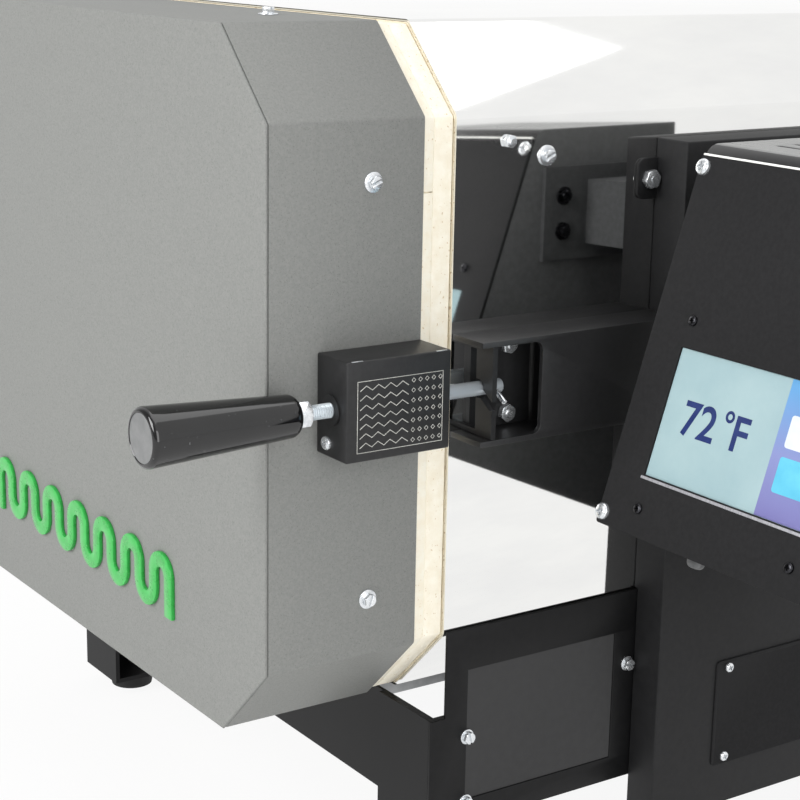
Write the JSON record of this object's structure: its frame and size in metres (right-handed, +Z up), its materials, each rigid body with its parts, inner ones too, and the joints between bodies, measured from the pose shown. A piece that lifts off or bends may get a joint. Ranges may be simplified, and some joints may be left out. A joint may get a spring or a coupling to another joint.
{
  "type": "knife heat treating oven",
  "caption": "Front loading heat treating oven with an octagonal shell, brick lined chamber, side hinged door, spring latch and tilted touch control box on a four legged stand.",
  "frame": {"origin": "middle of the whole oven's box, on the floor", "axes": "+X to the oven's right seen from the front, +Y from the door to the back, +Z up"},
  "size_m": [0.7074, 0.8198, 0.5183],
  "materials": {
    "black_screw": "zinc and black oxide",
    "bright_stainless": "mirror bright",
    "bronze": "turned",
    "dark_plastic": "moulded",
    "door_insulation": "soft fibre board and blanket",
    "door_paint": "fine matte powder coat",
    "element_alloy": "oxidised",
    "face_board": "fine, matte",
    "fire_brick": "porous, matte",
    "foot_rubber": "moulded",
    "green_board": "coated",
    "grip_plastic": "polished",
    "plain_steel": "satin",
    "satin_black": "satin powder coat",
    "screen_glass": "lit behind",
    "stand_black": "satin powder coat",
    "supply_metal": "plain",
    "white_ceramic": "glazed",
    "zinc_steel": "bright zinc"
  },
  "bodies": {
    "root": {"back_panel": "plain_steel", "base_end_rails": "stand_black", "base_side_left": "stand_black", "base_side_right": "stand_black", "body_hinge_leaves": "satin_black", "body_jacket": "bright_stainless", "body_pan_screws": "zinc_steel", "body_wool": "door_insulation", "catch_beam": "satin_black", "catch_fasteners": "zinc_steel", "catch_plate": "satin_black", "circuit_board": "green_board", "control_arm": "satin_black", "control_box": "satin_black", "cord_gland": "dark_plastic", "cradle_rails": "stand_black", "data_plate": "plain_steel", "display_module": "dark_plastic", "element_bushings": "white_ceramic", "element_connectors": "bronze", "faceplate": "satin_black", "floor_and_roof_bricks": "fire_brick", "front_brick": "fire_brick", "heating_elements": "element_alloy", "hex_screws": "black_screw", "hinge_pins": "zinc_steel", "power_relays": "dark_plastic", "power_supply": "supply_metal", "power_switch_housing": "dark_plastic", "rear_brick": "fire_brick", "rear_cover": "satin_black", "rear_wool": "door_insulation", "side_bricks": "fire_brick", "side_enclosure": "satin_black", "side_nuts": "zinc_steel", "small_screws": "black_screw", "stand_feet": "foot_rubber", "stand_legs": "stand_black", "thermocouple": "element_alloy", "thermocouple_head": "white_ceramic", "touch_screen": "screen_glass"},
    "door": {"door_front_panel": "door_paint", "door_band": "door_paint", "door_backing": "door_insulation", "door_brick": "fire_brick", "door_face_board": "face_board", "door_screws": "zinc_steel", "door_pan_screws": "zinc_steel", "door_hinge_leaves": "satin_black", "latch_box": "satin_black", "latch_bracket": "zinc_steel", "latch_bushes": "bronze"},
    "latch_slider": {"thrust_washer": "zinc_steel", "latch_spring": "zinc_steel"},
    "latch": {"latch_rod": "zinc_steel", "latch_collar": "zinc_steel", "latch_grip": "grip_plastic", "latch_lock_nut": "zinc_steel", "latch_roll_pin": "zinc_steel"},
    "rocker": {"power_rocker": "dark_plastic"}
  },
  "joints": [
    {"name": "door_swing", "type": "hinge", "parent": "root", "child": "door", "pos_m": [-0.34668, -0.21985, 0.325], "axis": [0, 0, -1], "range_deg": [0, 120]},
    {"name": "latch_push", "type": "slide", "parent": "door", "child": "latch_slider", "axis": [0, 1, 0], "range_m": [0, 0.006], "stiffness_N_per_m": 800, "springref_m": -0.002},
    {"name": "latch_turn", "type": "hinge", "parent": "latch_slider", "child": "latch", "pos_m": [0.12732, -0.3, 0.325], "axis": [0, -1, 0], "range_deg": [0, 90]},
    {"name": "power_rocker", "type": "hinge", "parent": "root", "child": "rocker", "pos_m": [0.34502, -0.07385, 0.345], "axis": [0, 1, 0], "range_deg": [0, 24]}
  ]
}
